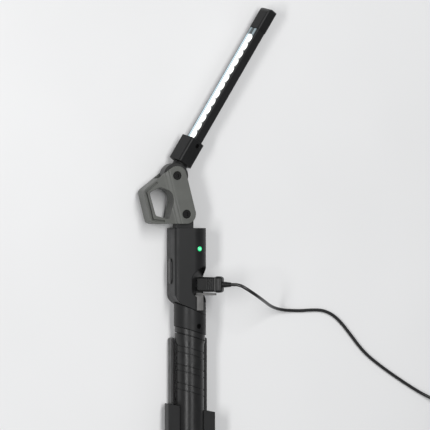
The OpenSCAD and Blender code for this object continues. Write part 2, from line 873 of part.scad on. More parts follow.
module wand_collar() {
    color(black) in_wand() difference() {
        translate([0, 0, collar_rise / 2])
            bar_y(collar_w, collar_t + collar_rise, collar_round, collar_start, collar_end);
        rod_wand(stem_r + running, collar_start - 1, collar_end);
        rod_wand(clip_r + clip_room, collar_start + stem_wall, wand_start + 1);
        bar_y(wand_w + 2 * close, wand_t + 2 * close, wand_round, wand_start - close, collar_end + 1);
        for (side = [0, 180]) rotate([0, side, 0]) translate([0, collar_screw_y, 0]) rotate([0, 90, 0]) {
            cylinder(h = collar_w, r = small_screw_r + close);
            translate([0, 0, collar_w / 2 - small_head_t])
                cylinder(h = 2 * small_head_t, r = small_head_r + loose);
        }
    }
}

module collar_screws() {
    color(steel) in_wand() for (side = [0, 180]) rotate([0, side, 0])
        translate([0, collar_screw_y, 0]) rotate([0, 90, 0]) {
            translate([0, 0, collar_w / 2 - small_head_t])
                cylinder(h = small_head_t - loose, r = small_head_r);
            translate([0, 0, trough]) cylinder(h = collar_w / 2 - small_head_t - trough, r = small_screw_r);
        }
}

module wand_housing() {
    color([0.12, 0.12, 0.125]) in_wand() difference() {
        bar_y(wand_w, wand_t, wand_round, wand_start, wand_end);
        translate([-trough, wand_start - 1, trough_floor])
            cube([2 * trough, wand_end - wand_start + 2, wand_t]);
        translate([-wand_w, collar_screw_y, 0]) rotate([0, 90, 0])
            cylinder(h = 2 * wand_w, r = small_screw_r + running);
        translate([0, tip_screw_y, -wand_t]) cylinder(h = 2 * wand_t, r = small_screw_r + running);
    }
}

module led_board() {
    color(white) in_wand() translate([close - trough, collar_end + led_board_inset, trough_floor])
        cube([2 * (trough - close), tip_start - collar_end - 2 * led_board_inset, board_t]);
}

module led_chips() {
    color([1, 0.97, 0.85]) in_wand() for (i = [0:led_count - 1])
        translate([-led_size.x / 2, led_first + i * led_pitch - led_size.y / 2, trough_floor + board_t])
            cube(led_size);
}

module reflector_tray() {
    half = trough - close;
    low_end = collar_end + tray_inset;
    tray_len = tip_start - tray_inset - low_end;
    color(white) in_wand() difference() {
        translate([-half, low_end, tray_low]) cube([2 * half, tray_len, lens_low - close - tray_low]);
        translate([tray_wall - half, low_end + tray_wall, tray_low + tray_wall])
            cube([2 * (half - tray_wall), tray_len - 2 * tray_wall, wand_t]);
        for (i = [0:led_count - 1]) translate([0, led_first + i * led_pitch, tray_low])
            cube([led_size.x + 2 * loose, led_size.y + 2 * loose, wand_t], center = true);
    }
}

module wand_lens() {
    half = trough - close;
    color([0.8, 0.9, 0.95, 0.5]) in_wand() translate([-half, collar_end + loose, lens_low])
        cube([2 * half, tip_start - collar_end - 2 * loose, lens_t]);
}

tip_w = wand_w + 1;
tip_t = wand_t + 1;
tip_corners = [[-tip_w / 2, wand_start, 0], [tip_w / 2, wand_start, 0],
    [tip_w / 2, wand_len, tip_corner], [-tip_w / 2, wand_len, tip_corner]];
tip_sides = [[-tip_t / 2, wand_start, 0], [tip_t / 2, wand_start, 0],
    [tip_t / 2, wand_len, tip_brow], [-tip_t / 2, wand_len, tip_heel]];

module tip_cap() {
    color(black) in_wand() difference() {
        intersection() {
            bar_y(tip_w, tip_t, tip_round, tip_start, wand_len);
            translate([0, 0, -tip_t]) linear_extrude(2 * tip_t) polygon(rounded(tip_corners));
            rotate([0, -90, 0]) translate([0, 0, -tip_w]) linear_extrude(2 * tip_w)
                polygon(rounded(tip_sides));
        }
        bar_y(wand_w + 2 * close, wand_t + 2 * close, wand_round, tip_start - 1, wand_end + close);
        translate([0, tip_screw_y, -tip_t]) cylinder(h = tip_t, r = small_screw_r + close);
    }
}

module tip_screw() {
    color(steel) in_wand() translate([0, tip_screw_y, 0]) {
        translate([0, 0, -tip_t / 2 - small_head_t]) cylinder(h = small_head_t, r = small_head_r);
        translate([0, 0, -tip_t / 2]) cylinder(h = trough_floor + tip_t / 2, r = small_screw_r);
    }
}

// Charging lead: plug, strain relief, free run, coil, tie and far plug
plug_start = port_floor + 1;
plug_size = [8.5, 14.6, 19.6];
boot_size = [9.2, 16.4, 6.8];
relief_len = 8.6;
boot_start = plug_start + plug_size.z;
relief_start = boot_start + boot_size.z;
relief_end = relief_start + relief_len;
port_axis = [sin(port_turn), 0, cos(port_turn)];
exit = [0, -port_drop, axis_z] + relief_end * port_axis;

// Route of the lead's free run, from the strain relief to the coil
route = [exit, exit + 6 * port_axis,
    [42.5, -57.2, 50.7], [47.5, -60.2, 52.4], [53, -63.6, 52.2], [58, -66.4, 49.8],
    [62.5, -68.7, 46], [67, -70.8, 40.8], [71.5, -72.8, 35], [76, -74.8, 29],
    [80.5, -76.8, 23], [85.5, -78.8, 17.2], [91, -80.6, 11.8], [97.5, -82.2, 7.2],
    [105, -83.4, 4], [113.5, -84, 2.2], [123, -84.2, 1.8], [133, -83.8, 1.8],
    [143, -84, 1.8], [151, -86, 1.8], [159, -90.4, 1.8], [167, -97.8, 1.8],
    [176, -108.6, 1.8], [186, -121, 1.8], [195, -130.4, 1.8], [206, -139.2, 1.8],
    [218, -147.8, 1.8], [231, -156.4, 1.8], [244, -164.6, 1.8], [256, -171.6, 2.6],
    [267, -177, 5], [277, -180.4, 7.2], [285.6, -182, 8], [292.6, -182, 8]];
route_end = route[len(route) - 1];
coil_centre = route_end + [cord_d, -coil_r, 0];
coil_in = coil_r - coil_pitch * coil_turns;
coil_tail = 18;
coil_steps = 24;
tie_turn = -35;
tie_w = 5;
tie_t = 1.2;
tie_room = 0.5;
relief_wide = cord_d * 0.95;
relief_thin = cord_d * 0.68;
far_size = [22, 16, 7.2];
far_relief = 8;
far_contact_size = [18, 12, 4.5];

// Smooth curve through points, with two steps from each point to the next
function between(p, i, t) =
    let (n = len(p) - 1, a = p[max(i - 1, 0)], b = p[i], c = p[i + 1], d = p[min(i + 2, n)])
    0.5 * (2 * b + (c - a) * t + (2 * a - 5 * b + 4 * c - d) * t * t + (3 * b - a - 3 * c + d) * t * t * t);
function smooth(p) = [for (i = [0:len(p) - 2], t = [0, 0.5]) between(p, i, t), p[len(p) - 1]];

// Place on the coil after some turns: in along the upper layer, down, and out along the lower one
function coil_place(t) =
    let (back = coil_turns + 0.5,
        r = t < coil_turns ? coil_r - coil_pitch * t : coil_in + coil_pitch * max(t - back, 0),
        z = -coil_rise * min(max((t - coil_turns) * 2, 0), 1),
        a = 90 - 360 * t)
    coil_centre + [r * cos(a), r * sin(a), z];
coil_total = 2 * coil_turns;
coil_last = coil_place(coil_total);
coil_points = [route_end, for (i = [0:coil_total * coil_steps]) coil_place(i / coil_steps),
    coil_last + [coil_tail / 2, 0, 0], coil_last + [coil_tail, 0, 0]];
route_count = len(route);
run_points = [exit, each smooth([for (i = [1:route_count - 2]) route[i]]), route_end];
far_start = coil_points[len(coil_points) - 1];

function path_len(p) =
    let (steps = [for (i = [1:len(p) - 1]) norm(p[i] - p[i - 1])])
    steps * [for (s = steps) 1];
function least_gap(p) =
    min([for (i = [0:len(p) - 1], j = [i + coil_steps / 2:1:len(p) - 1]) norm(p[i] - p[j])]);
echo(least_gap_in_coil = least_gap(coil_points) - cord_d);
echo(lead_length = path_len(run_points) + path_len(coil_points));

// Tube swept along points, closed at both ends
module tube(p, r, sides) {
    n = len(p);
    rings = [for (i = [0:n - 1])
        let (along = unit(p[min(i + 1, n - 1)] - p[max(i - 1, 0)]),
            across = unit(cross([0, 0, 1], along)), over = cross(along, across))
        each [for (k = [0:sides - 1])
            p[i] + r * (cos(360 * k / sides) * across + sin(360 * k / sides) * over)]];
    walls = [for (i = [0:n - 2], k = [0:sides - 1])
        let (a = i * sides + k, b = i * sides + (k + 1) % sides)
        each [[a, b + sides, b], [a, a + sides, b + sides]]];
    last = (n - 1) * sides;
    caps = [for (k = [1:sides - 2]) each [[0, k, k + 1], [last, last + k + 1, last + k]]];
    polyhedron(points = rings, faces = concat(walls, caps));
}

module plug_block(size, r, from) {
    at_port() translate([0, 0, from]) linear_extrude(size.z) round_rect(size.x, size.y, r);
}

module plug_contact() { color(steel) plug_block(contact_size, 1.1, plug_start - contact_size.z); }
module charge_plug() { color(rubber_black) plug_block(plug_size, 2, plug_start); }
module plug_boot() { color(rubber_black) plug_block(boot_size, 3, boot_start); }

module strain_relief() {
    color(rubber_black) at_port() translate([0, 0, relief_start])
        cylinder(h = relief_len, r1 = relief_wide, r2 = relief_thin);
}

module cable_run() { color(rubber_black) tube(run_points, cord_d / 2, 8); }
module cable_coil() { color(rubber_black) tube(coil_points, cord_d / 2, 6); }

module cable_tie() {
    gap = cord_d / 2 + tie_room;
    inside = coil_in - gap;
    outside = coil_r + gap;
    low = -coil_rise - gap;
    color(black) translate(coil_centre) rotate([0, 0, tie_turn]) difference() {
        translate([inside - tie_t, -tie_w / 2, low - tie_t])
            cube([outside - inside + 2 * tie_t, tie_w, gap - low + 2 * tie_t]);
        translate([inside, -tie_w, low]) cube([outside - inside, 2 * tie_w, gap - low]);
    }
}

module far_plug() {
    color(rubber_black) translate(far_start) rotate([0, 90, 0]) {
        cylinder(h = far_relief, r1 = relief_thin, r2 = relief_wide);
        translate([0, 0, far_relief]) linear_extrude(far_size.x) round_rect(far_size.z, far_size.y, 1.6);
    }
}

module far_contact() {
    color(steel) translate(far_start + [far_relief + far_size.x, 0, 0])
        translate([0, -far_contact_size.y / 2, -far_contact_size.z / 2]) cube(far_contact_size);
}

at_rest() head_front_shell();
at_rest() head_back_shell();
at_rest() hinge_tongue();
at_rest() housing_screws();
at_rest() control_board();
at_rest() power_switch();
at_rest() power_button();
at_rest() usb_socket();
at_rest() status_lens();
at_rest() status_diode();
at_rest() neck_ring();
at_rest() neck_screw();
at_rest() grip_tube();
at_rest() grip_sleeve();
at_rest() battery_cell();
at_rest() left_side_rail();
at_rest() right_side_rail();
at_rest() base_housing();
at_rest() base_magnet();
at_rest() base_end_cap();
at_rest() base_screws();
at_rest() flap_anchor();
at_rest() port_flap();
at_rest() bracket_front();
at_rest() bracket_back();
at_rest() pivot_bolts();
at_rest() pivot_nuts();
at_rest() friction_washers();
at_rest() wand_knuckle();
at_rest() swivel_washer();
at_rest() swivel_clip();
at_rest() wand_collar();
at_rest() collar_screws();
at_rest() wand_housing();
at_rest() led_board();
at_rest() led_chips();
at_rest() reflector_tray();
at_rest() wand_lens();
at_rest() tip_cap();
at_rest() tip_screw();
at_rest() plug_contact();
at_rest() charge_plug();
at_rest() plug_boot();
at_rest() strain_relief();
at_rest() cable_run();
at_rest() cable_coil();
at_rest() cable_tie();
at_rest() far_plug();
at_rest() far_contact();
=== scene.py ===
"""Looks of a folding rechargeable work light that lies on its back, with its charging lead plugged in."""

import json
from math import cos, pi, radians, sin

import bmesh
import bpy
from mathutils import Matrix, Vector


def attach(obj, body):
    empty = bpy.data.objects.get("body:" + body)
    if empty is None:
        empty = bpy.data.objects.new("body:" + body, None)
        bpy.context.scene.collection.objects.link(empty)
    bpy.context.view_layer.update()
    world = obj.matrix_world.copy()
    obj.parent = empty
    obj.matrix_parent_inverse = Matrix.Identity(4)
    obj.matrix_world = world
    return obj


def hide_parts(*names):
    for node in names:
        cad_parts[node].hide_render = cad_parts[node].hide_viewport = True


MM = 0.001
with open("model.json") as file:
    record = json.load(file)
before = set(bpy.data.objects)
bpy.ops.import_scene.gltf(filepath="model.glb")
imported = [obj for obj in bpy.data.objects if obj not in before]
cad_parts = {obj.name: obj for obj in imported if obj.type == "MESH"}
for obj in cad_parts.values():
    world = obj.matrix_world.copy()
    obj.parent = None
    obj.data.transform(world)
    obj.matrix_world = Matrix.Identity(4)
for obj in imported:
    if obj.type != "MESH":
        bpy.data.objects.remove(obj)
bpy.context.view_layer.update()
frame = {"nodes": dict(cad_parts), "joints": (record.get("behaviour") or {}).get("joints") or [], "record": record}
nodes = frame["nodes"]
joints = {joint["name"]: joint for joint in frame["joints"]}
bodies = frame["record"]["behaviour"]["bodies"]
body_of = {node: body for body, group in bodies.items() for node in group}
slot_of = {row["node"]: row["material_slot"] for row in frame["record"]["subparts"]}


# Places on the tool: lengths in metres, turns and leans in degrees

AXIS_Z = 16 * MM
PIVOT_LEFT = 7.2 * MM
PIVOT_RISE = 13.8 * MM
PORT_DOWN = 56 * MM
PORT_TURN = 50
LIGHT_DOWN = 20.6 * MM
LIGHT_TURN = 20
BUTTON_LEFT = 20 * MM
BUTTON_DOWN = 43 * MM
BUTTON_TURN = -90
NECK_SCREW_DOWN = 97.38 * MM
NECK_SCREW_TURN = 18
BRACKET_LEAN = 14.2
WAND_LEAN = -31
WAND_TURN = -65
PIVOT = Vector(joints["bracket_tilt"]["pos_m"])
SWIVEL = Vector(joints["wand_swivel"]["pos_m"])
HEAD_TOP = Vector((PIVOT.x + PIVOT_LEFT, PIVOT.y - PIVOT_RISE, AXIS_Z))


def turned(place, *turns):
    """Frame at a place, turned by degrees about each named axis in order."""
    result = Matrix.Translation(place)
    for angle, axis in turns:
        result = result @ Matrix.Rotation(radians(angle), 4, axis)
    return result


def below_top(down, left=0.0):
    return HEAD_TOP - Vector((left, down, 0))


HANDLE = turned(HEAD_TOP)
PORT = turned(below_top(PORT_DOWN), (PORT_TURN, "Y"))
LIGHT = turned(below_top(LIGHT_DOWN), (LIGHT_TURN, "Y"))
BUTTON = turned(below_top(BUTTON_DOWN, BUTTON_LEFT), (BUTTON_TURN, "Y"))
NECK_SCREW = turned(below_top(NECK_SCREW_DOWN), (NECK_SCREW_TURN, "Y"))
BRACKET = turned(PIVOT, (BRACKET_LEAN, "Z"))
WAND = turned(SWIVEL, (WAND_LEAN, "Z"), (WAND_TURN, "Y"))


# Materials

class Paint:
    """A material under construction, with short calls for its nodes."""

    BEVEL_SAMPLES = 6

    def __init__(self, name, **sockets):
        self.material = bpy.data.materials.new(name)
        self.material.use_nodes = True
        self.tree = self.material.node_tree
        self.shader = self.tree.nodes["Principled BSDF"]
        self.coords = self.add("TexCoord").outputs["Object"]
        self.connect(self.shader, {key.replace("_", " "): value for key, value in sockets.items()})

    def add(self, kind, sockets=None, **settings):
        node = self.tree.nodes.new("ShaderNode" + kind)
        for key, value in settings.items():
            setattr(node, key, value)
        self.connect(node, sockets or {})
        return node

    def connect(self, node, sockets):
        for key, value in sockets.items():
            if isinstance(value, bpy.types.NodeSocket):
                self.tree.links.new(value, node.inputs[key])
            else:
                node.inputs[key].default_value = value

    def math(self, operation, first, second=0.0):
        return self.add("Math", {0: first, 1: second}, operation=operation).outputs["Value"]

    def axis(self, name):
        return self.add("SeparateXYZ", {"Vector": self.coords}).outputs[name]

    def length(self, x, y):
        place = self.add("CombineXYZ", {"X": x, "Y": y}).outputs["Vector"]
        return self.add("VectorMath", {0: place}, operation="LENGTH").outputs["Value"]

    def noise(self, size, detail, stretch=(1, 1, 1)):
        """Noise with features of about the given size, in metres."""
        scale = [factor / size for factor in stretch]
        mapping = self.add("Mapping", {"Vector": self.coords, "Scale": scale})
        node = self.add("TexNoise", {"Vector": mapping.outputs["Vector"], "Scale": 1.0, "Detail": detail})
        return node.outputs["Fac"]

    def cells(self, size):
        return self.add("TexVoronoi", {"Vector": self.coords, "Scale": 1 / size}).outputs["Distance"]

    def spread(self, source, low, high, start=0.3, end=0.7):
        """The source's range from start to end, as values from low to high."""
        sockets = {"Value": source, "From Min": start, "From Max": end, "To Min": low, "To Max": high}
        return self.add("MapRange", sockets).outputs["Result"]

    def shades(self, source, *stops):
        """Colours along the source, each stop a place and a colour."""
        ramp = self.add("ValToRGB", {"Fac": source})
        while len(ramp.color_ramp.elements) < len(stops):
            ramp.color_ramp.elements.new(0.5)
        for element, (place, colour) in zip(ramp.color_ramp.elements, stops):
            element.position = place
            element.color = (*colour, 1)
        return ramp.outputs["Color"]

    def mix(self, factor, first, second):
        """The first colour, giving way to the second, which is plain, as the factor rises."""
        sockets = {0: factor, 6: first, 7: (*second, 1)}
        return self.add("Mix", sockets, data_type="RGBA").outputs[2]

    def rounded(self, radius):
        """Normals that look rounded to the radius at edges."""
        return self.add("Bevel", {"Radius": radius}, samples=self.BEVEL_SAMPLES).outputs["Normal"]

    def bump(self, height, depth, soft=0.0):
        """Relief of the given depth, over edges that look rounded to the soft radius."""
        sockets = {"Height": height, "Distance": depth, "Strength": 1.0}
        if soft:
            sockets["Normal"] = self.rounded(soft)
        self.connect(self.shader, {"Normal": self.add("Bump", sockets).outputs["Normal"]})

    def edges(self, radius):
        """About 1 along rounded edges and 0 on flat ground."""
        normals = {0: self.rounded(radius), 1: self.add("NewGeometry").outputs["Normal"]}
        dot = self.add("VectorMath", normals, operation="DOT_PRODUCT").outputs["Value"]
        return self.spread(dot, 1.0, 0.0, start=0.90, end=0.995)


def shade(colour, factor):
    return tuple(min(1.0, channel * factor) for channel in colour)


def grey(value, warmth=0.0):
    return (value * (1 + warmth), value, value * (1 - warmth))


def moulded(name, colour, rough, shine=0.3, grain=0.35 * MM, edge_highlight_and_wear=0.0):
    """Moulded plastic: an even fine grain, faint cloudy flow marks and a gloss that varies a little."""
    paint = Paint(name, IOR=1.49, Specular_IOR_Level=shine)
    soft = 0.8 * MM
    clouds = paint.noise(14 * MM, 4)
    fine = paint.noise(grain, 2)
    tone = paint.shades(clouds, (0.25, shade(colour, 0.82)), (0.75, shade(colour, 1.2)))
    specks = paint.spread(fine, 0.0, 0.35, start=0.55, end=0.8)
    tone = paint.mix(specks, tone, shade(colour, 1.7))
    # Lighter patches on rounded edges: painted edge highlight and rubbed wear.
    if edge_highlight_and_wear:
        highlight_and_wear_patches = paint.spread(paint.noise(4 * MM, 5), 0, edge_highlight_and_wear)
        tone = paint.mix(paint.math("MULTIPLY", paint.edges(soft), highlight_and_wear_patches), tone, shade(colour, 3.2))
    gloss = paint.math("ADD", paint.spread(clouds, rough - 0.05, rough + 0.06), paint.spread(fine, 0, 0.05))
    paint.connect(paint.shader, {"Base Color": tone, "Roughness": gloss})
    paint.bump(fine, 0.012 * MM, soft)
    return paint.material


def rubber(name, colour, rough):
    """Soft rubber: a fine pebbled skin and a little pale dust in patches."""
    paint = Paint(name, IOR=1.45, Specular_IOR_Level=0.42, Sheen_Weight=0.03, Sheen_Roughness=0.5)
    clouds = paint.noise(9 * MM, 5)
    pebbles = paint.cells(0.55 * MM)
    tone = paint.shades(clouds, (0.25, shade(colour, 0.8)), (0.8, shade(colour, 1.25)))
    dust = paint.spread(paint.noise(2.2 * MM, 6), 0.0, 0.25, start=0.55, end=0.8)
    tone = paint.mix(dust, tone, shade(colour, 2.0))
    gloss = paint.spread(clouds, rough - 0.06, rough + 0.08)
    paint.connect(paint.shader, {"Base Color": tone, "Roughness": gloss})
    paint.bump(pebbles, 0.03 * MM, soft=0.5 * MM)
    return paint.material


def metal(name, colour, rough):
    """Metal with fine tool marks."""
    paint = Paint(name, Metallic=1.0)
    marks = paint.noise(0.25 * MM, 4)
    clouds = paint.noise(6 * MM, 3)
    tone = paint.shades(marks, (0.2, shade(colour, 0.8)), (0.8, shade(colour, 1.15)))
    tone = paint.mix(paint.spread(clouds, 0, 0.35), tone, shade(colour, 0.7))
    gloss = paint.spread(marks, rough - 0.07, rough + 0.1)
    paint.connect(paint.shader, {"Base Color": tone, "Roughness": gloss})
    paint.bump(marks, 0.004 * MM)
    return paint.material


def anodised(name, colour):
    """Drawn aluminium under a dark anodic film, with fine lines along the wand."""
    paint = Paint(name, Metallic=0.2, IOR=1.5, Specular_IOR_Level=0.25)
    lines = paint.noise(0.3 * MM, 3, stretch=(1, 0.02, 1))
    clouds = paint.noise(16 * MM, 3)
    tone = paint.shades(clouds, (0.3, shade(colour, 0.85)), (0.7, shade(colour, 1.2)))
    tone = paint.mix(paint.spread(lines, 0, 0.4), tone, shade(colour, 1.5))
    paint.connect(paint.shader, {"Base Color": tone, "Roughness": paint.spread(lines, 0.36, 0.52)})
    paint.bump(lines, 0.006 * MM)
    return paint.material


def jacket(name, colour):
    """Smooth extruded jacket of a lead: glossy, with a slow ripple and fine scuffs."""
    paint = Paint(name, IOR=1.5, Coat_Weight=0.15, Coat_Roughness=0.2)
    ripple = paint.noise(5 * MM, 2)
    scuffs = paint.noise(0.7 * MM, 6)
    tone = paint.shades(scuffs, (0.3, shade(colour, 0.8)), (0.8, shade(colour, 1.5)))
    paint.connect(paint.shader, {"Base Color": tone, "Roughness": paint.spread(scuffs, 0.24, 0.40)})
    paint.bump(ripple, 0.05 * MM)
    return paint.material


LED_FIRST = 45.6 * MM
LED_PITCH = 9.4 * MM
LED_COUNT = 13
LED_LAST = LED_FIRST + (LED_COUNT - 1) * LED_PITCH
LOBE_SHIFT = 0.3 * MM


def led_glow(paint, inner, outer, shift=0.0):
    """1 close to a diode of the row and 0 far from every one, over the wand's own axes."""
    past_first = paint.math("SUBTRACT", paint.axis("Y"), LED_FIRST)
    on_row = paint.math("MINIMUM", paint.math("MAXIMUM", past_first, 0), LED_LAST - LED_FIRST)
    nearest = paint.math("ROUND", paint.math("DIVIDE", on_row, LED_PITCH))
    along = paint.math("SUBTRACT", past_first, paint.math("MULTIPLY", nearest, LED_PITCH))
    away = paint.length(paint.math("SUBTRACT", paint.axis("X"), shift), along)
    sockets = {"Value": away, "From Min": inner, "From Max": outer, "To Min": 1.0, "To Max": 0.0}
    return paint.add("MapRange", sockets, interpolation_type="SMOOTHSTEP").outputs["Result"]


def lit_tray(name):
    """White reflector with painted diode light: a painted white glow round each one, and a painted pale blue-grey
    glow further off.
    """
    paint = Paint(name, Roughness=0.35, Base_Color=(0.42, 0.46, 0.48, 1))
    glow = led_glow(paint, inner=2.9 * MM, outer=4.6 * MM)
    # Painted glow along the tray's side walls, fading past the last diode.
    wall = paint.spread(paint.math("ABSOLUTE", paint.axis("X")), 0.0, 1.0, start=3.6 * MM, end=4.3 * MM)
    near = paint.spread(paint.axis("Y"), 1.0, 0.35, start=LED_LAST + 3 * MM, end=LED_LAST + 7 * MM)
    light = paint.math("MAXIMUM", glow, paint.math("MULTIPLY", wall, near))
    tint = paint.shades(light, (0.0, (0.16, 0.20, 0.22)), (0.5, (0.62, 0.76, 0.82)),
                        (1.0, (0.95, 1.0, 1.0)))
    strength = paint.spread(light, 0.15, 1.35, start=0, end=1)
    paint.connect(paint.shader, {"Emission Color": tint, "Emission Strength": strength})
    paint.bump(paint.noise(0.6 * MM, 3), 0.01 * MM)
    return paint.material


def phosphor(name):
    """Lit diode: yellow-white phosphor that outshines everything."""
    paint = Paint(name, Base_Color=(0.95, 0.86, 0.5, 1), Roughness=0.4, Emission_Strength=2.4)
    grain = paint.noise(0.3 * MM, 3)
    tint = paint.shades(grain, (0.3, (1.0, 0.98, 0.92)), (0.7, (1.0, 1.0, 0.98)))
    paint.connect(paint.shader, {"Emission Color": tint})
    return paint.material


def lit_cover(name):
    """Clear cover over the lit diodes, with painted light on it: painted white lobes with a scalloped edge, and a
    cool straight painted glow along its rim.
    """
    paint = Paint(name, Base_Color=(0.030, 0.034, 0.034, 1), IOR=1.49, Coat_Weight=0.3, Coat_Roughness=0.06)
    across = paint.axis("X")
    along = paint.axis("Y")
    # Painted light laid on the cover by place: white lobes round the diodes and a white band along the row.
    begun = paint.spread(along, 0, 1, start=LED_FIRST - 5.4 * MM, end=LED_FIRST - 4.6 * MM)
    past = paint.spread(along, 0, 1, start=LED_LAST + 4.2 * MM, end=LED_LAST + 5.2 * MM)
    inside = paint.spread(across, 1, 0, start=0.7 * MM, end=1.5 * MM)
    row = paint.math("MULTIPLY", inside, paint.math("SUBTRACT", begun, past))
    lobe = led_glow(paint, inner=4.6 * MM, outer=5.3 * MM, shift=LOBE_SHIFT)
    off_rim = paint.spread(across, 0, 1, start=-2.6 * MM, end=-2.2 * MM)
    white = paint.math("MULTIPLY", off_rim, paint.math("MAXIMUM", lobe, row))
    # A cool painted glow along one edge, and a faint painted line past the last diode.
    rim = paint.math("SUBTRACT", 1, paint.spread(across, 0, 1, start=-3.0 * MM, end=-2.6 * MM))
    rim = paint.math("MULTIPLY", rim, paint.spread(past, 0.8, 0.3, start=0, end=1))
    far_line = paint.math("MULTIPLY", paint.spread(across, 0, 1, start=0.8 * MM, end=1.6 * MM),
                          paint.spread(across, 1, 0, start=3.6 * MM, end=4.4 * MM))
    far_line = paint.math("MULTIPLY", far_line, paint.math("MULTIPLY", past, 0.32))
    light = paint.math("MAXIMUM", paint.math("MULTIPLY", white, 1.6), paint.math("MAXIMUM", rim, far_line))
    paint.connect(paint.shader, {
        "Emission Color": paint.shades(white, (0.0, (0.70, 0.90, 1.0)), (0.7, (1.0, 1.0, 0.96))),
        "Emission Strength": paint.math("ADD", light, 0.02),
        "Alpha": paint.spread(light, 0.86, 1.0, start=0.02, end=0.3),
        "Roughness": paint.spread(paint.noise(1.2 * MM, 4), 0.08, 0.2)})
    paint.bump(paint.noise(6 * MM, 2, stretch=(1, 0.3, 1)), 0.02 * MM)
    return paint.material


def status_glow(name):
    """Green indicator: bright at its middle, deeper towards its rim."""
    paint = Paint(name, Base_Color=(0.02, 0.45, 0.18, 1), Roughness=0.2, Coat_Weight=0.5,
                  Emission_Strength=1.3)
    away = paint.length(paint.axis("X"), paint.axis("Y"))
    core = paint.spread(away, 1.0, 0.0, start=0.6 * MM, end=2.4 * MM)
    tint = paint.shades(core, (0.0, (0.0, 0.22, 0.06)), (0.55, (0.02, 0.75, 0.22)),
                        (1.0, (0.35, 1.0, 0.55)))
    paint.connect(paint.shader, {"Emission Color": tint})
    paint.bump(paint.noise(0.8 * MM, 3), 0.01 * MM)
    return paint.material


def board(name, colour, copper):
    """Circuit board: solder mask over faint copper runs, with tinned dots."""
    paint = Paint(name, Roughness=0.35, IOR=1.5)
    bricks = {"Vector": paint.coords, "Scale": 260.0, "Mortar Size": 0.03}
    runs = paint.add("TexBrick", bricks).outputs["Fac"]
    dots = paint.spread(paint.cells(3 * MM), 1.0, 0.0, start=0.16, end=0.22)
    tone = paint.mix(paint.math("MULTIPLY", runs, 0.5), (*colour, 1), shade(colour, 1.6))
    tone = paint.mix(dots, tone, copper)
    paint.connect(paint.shader, {"Base Color": tone, "Metallic": dots})
    paint.bump(runs, 0.02 * MM)
    return paint.material


def wrap(name, colour):
    """Shrink wrap of a cell: glossy film with fine creases round it."""
    paint = Paint(name, Roughness=0.28, IOR=1.5)
    creases = paint.noise(1.6 * MM, 4, stretch=(1, 0.25, 1))
    tone = paint.shades(creases, (0.3, shade(colour, 0.85)), (0.7, shade(colour, 1.15)))
    paint.connect(paint.shader, {"Base Color": tone})
    paint.bump(creases, 0.03 * MM)
    return paint.material


LOOKS = {
    "black_plastic": moulded("black_plastic", grey(0.010, -0.02), rough=0.42),
    "hinge_plastic": moulded("hinge_plastic", grey(0.009, -0.02), rough=0.36),
    "rubber_black": rubber("rubber_black", grey(0.011), rough=0.33),
    "rubber_grey": rubber("rubber_grey", grey(0.15, 0.02), rough=0.7),
    "grey_plastic": moulded("grey_plastic", (0.066, 0.069, 0.061), rough=0.36, shine=0.55, grain=0.6 * MM,
                            edge_highlight_and_wear=0.3),
    "black_steel": metal("black_steel", grey(0.016), rough=0.36),
    "spring_steel": metal("spring_steel", grey(0.5, -0.02), rough=0.3),
    "tube_plastic": moulded("tube_plastic", grey(0.04), rough=0.5),
    "wand_aluminium": anodised("wand_aluminium", grey(0.015, -0.02)),
    "board_green": board("board_green", (0.02, 0.15, 0.07), copper=(0.75, 0.72, 0.66)),
    "board_white": board("board_white", (0.75, 0.77, 0.78), copper=(0.7, 0.68, 0.62)),
    "switch_body": moulded("switch_body", grey(0.03), rough=0.3),
    "socket_steel": metal("socket_steel", grey(0.6, -0.01), rough=0.24),
    "status_green": status_glow("status_green"),
    "diode_clear": moulded("diode_clear", (0.6, 0.75, 0.66), rough=0.2),
    "cell_wrap": wrap("cell_wrap", (0.05, 0.14, 0.36)),
    "magnet_nickel": metal("magnet_nickel", grey(0.62), rough=0.18),
    "diode_yellow": phosphor("diode_yellow"),
    "tray_white": lit_tray("tray_white"),
    "lens_clear": lit_cover("lens_clear"),
    "plug_plastic": moulded("plug_plastic", grey(0.011), rough=0.34),
    "cord_jacket": jacket("cord_jacket", grey(0.010)),
}
for name, node in nodes.items():
    node.data.materials.clear()
    node.data.materials.append(LOOKS[slot_of[name]])


# Pieces

SHARP = radians(34)
FLAT = radians(0.6)
WELD = 0.002 * MM
NEARLY_ROUND = 0.93
EDGE_STEPS = 3
SEAM_EDGE = 0.12 * MM
ROUND_STEPS = 48
CORNER_STEPS = 8
LEAST_R = 0.05 * MM
SCREW_EDGE = 0.25 * MM
RECESS_TAPER = 0.82
RIBS = 5
RIB_EDGE = 0.2 * MM
RIB_DEPTH = 0.42 * MM


def add_piece(name, bm, place, body, slot, replaces=()):
    """A finished piece from a mesh in its own frame, riding on a body."""
    mesh = bpy.data.meshes.new(name)
    bmesh.ops.recalc_face_normals(bm, faces=bm.faces)
    bm.to_mesh(mesh)
    bm.free()
    mesh.shade_smooth()
    mesh.set_sharp_from_angle(angle=SHARP)
    mesh.materials.append(LOOKS[slot])
    piece = bpy.data.objects.new(name, mesh)
    piece.matrix_world = place
    bpy.context.scene.collection.objects.link(piece)
    weighted = piece.modifiers.new("even_shading", "WEIGHTED_NORMAL")
    weighted.keep_sharp = True
    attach(piece, body)
    if replaces:
        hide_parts(*replaces)
    return piece


def stand_in(name, bm, place, node):
    """A piece that stands for a node."""
    return add_piece(name, bm, place, body_of[node], slot_of[node], (node,))


def soften(bm, seams, on_seam, width):
    """Rounds the edges where two faces meet at a clear angle, those on the seam planes or the others."""
    edges = []
    for edge in bm.edges:
        if edge.is_manifold and edge.calc_face_angle(0) > SHARP:
            lies = any(all(abs(v.co[axis] - at) < WELD for v in edge.verts) for axis, at in seams)
            if lies == on_seam:
                edges.append(edge)
    if edges:
        bmesh.ops.bevel(bm, geom=edges, offset=width, offset_type="OFFSET", segments=EDGE_STEPS,
                        profile=0.5, affect="EDGES", clamp_overlap=True)


